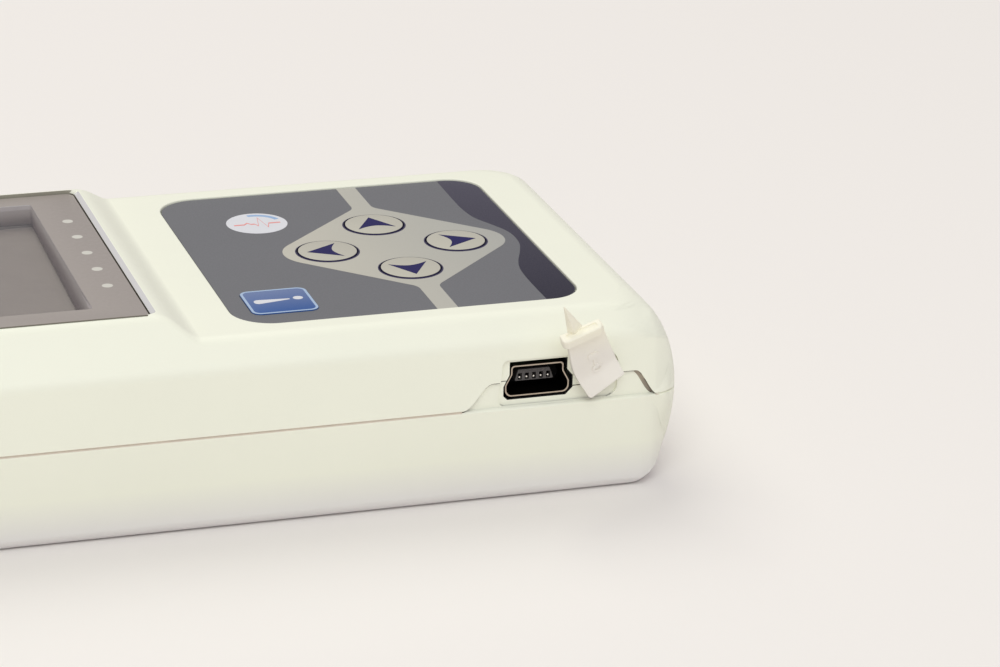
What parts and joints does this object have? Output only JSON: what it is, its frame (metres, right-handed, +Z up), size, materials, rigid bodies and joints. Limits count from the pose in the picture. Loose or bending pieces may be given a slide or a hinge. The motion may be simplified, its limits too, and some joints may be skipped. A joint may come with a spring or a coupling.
{
  "type": "holter monitor",
  "caption": "Pocket heart-rhythm recorder: two-shell case with a display, a five-key panel, a lead socket, and a data port with a swinging rubber cover.",
  "frame": {"origin": "centre of the footprint of the case, on the surface that the case rests on", "axes": "+X runs along the case from the lead socket and display end to the keypad end; +Z is up, out of the keypad; -Y points out of the long side that holds the data port"},
  "size_m": [0.1, 0.0606, 0.0239],
  "materials": {
    "shell_white": "satin",
    "shell_rear": "satin",
    "door_plastic": "satin",
    "lens_window": "gloss",
    "tape_dark": "matte",
    "tin_plate": "satin",
    "display_glass": "gloss",
    "light_guide": "satin",
    "ribbon_film": "gloss",
    "panel_film": "satin",
    "key_grey": "satin",
    "key_blue": "satin",
    "switch_black": "matte",
    "spring_steel": "satin",
    "board_green": "satin",
    "chip_black": "matte",
    "port_steel": "satin",
    "tongue_grey": "matte",
    "contact_gold": "gloss",
    "soft_rubber": "matte",
    "socket_grey": "satin",
    "cell_sleeve": "satin",
    "screw_zinc": "satin"
  },
  "bodies": {
    "case": {"front_shell": "shell_white", "rear_shell": "shell_rear", "display_lens": "lens_window", "lens_tape": "tape_dark", "lcd_frame": "tin_plate", "lcd_glass": "display_glass", "lcd_backlight": "light_guide", "lcd_ribbon": "ribbon_film", "keypad_overlay": "panel_film", "switch_bodies": "switch_black", "switch_domes": "spring_steel", "main_board": "board_green", "circuit_chips": "chip_black", "analog_shield": "tin_plate", "buzzer": "switch_black", "clock_cell": "spring_steel", "port_shell": "port_steel", "port_tongue": "tongue_grey", "port_contacts": "contact_gold", "lead_socket": "socket_grey", "lead_contacts": "contact_gold", "battery_near": "cell_sleeve", "battery_far": "cell_sleeve", "battery_bridge": "spring_steel", "battery_terminals": "spring_steel", "case_screws": "screw_zinc", "board_screws": "screw_zinc"},
    "key_up": {"key_up": "key_grey"},
    "key_down": {"key_down": "key_grey"},
    "key_left": {"key_left": "key_grey"},
    "key_right": {"key_right": "key_grey"},
    "key_event": {"key_event": "key_blue"},
    "cover_root": {"port_cover_anchor": "soft_rubber"},
    "cover_flap": {"port_cover": "soft_rubber"},
    "door": {"battery_door": "door_plastic"}
  },
  "joints": [
    {"name": "key_up_press", "type": "slide", "parent": "case", "child": "key_up", "axis": [0, 0, -1], "range_m": [0, 0.0003], "stiffness_N_per_m": 2000},
    {"name": "key_down_press", "type": "slide", "parent": "case", "child": "key_down", "axis": [0, 0, -1], "range_m": [0, 0.0003], "stiffness_N_per_m": 2000},
    {"name": "key_left_press", "type": "slide", "parent": "case", "child": "key_left", "axis": [0, 0, -1], "range_m": [0, 0.0003], "stiffness_N_per_m": 2000},
    {"name": "key_right_press", "type": "slide", "parent": "case", "child": "key_right", "axis": [0, 0, -1], "range_m": [0, 0.0003], "stiffness_N_per_m": 2000},
    {"name": "key_event_press", "type": "slide", "parent": "case", "child": "key_event", "axis": [0, 0, -1], "range_m": [0, 0.0003], "stiffness_N_per_m": 2000},
    {"name": "cover_twist", "type": "hinge", "parent": "case", "child": "cover_root", "pos_m": [0.03995, -0.0277, 0.014], "axis": [0, -1, 0], "range_deg": [-27, 63]},
    {"name": "cover_fold", "type": "hinge", "parent": "cover_root", "child": "cover_flap", "pos_m": [0.0395, -0.0277, 0.01489], "axis": [0.891, 0, 0.454], "range_deg": [-28, 67]},
    {"name": "door_swing", "type": "hinge", "parent": "case", "child": "door", "pos_m": [-0.02315, 0, 0.0007], "axis": [0, 1, 0], "range_deg": [0, 90]}
  ]
}
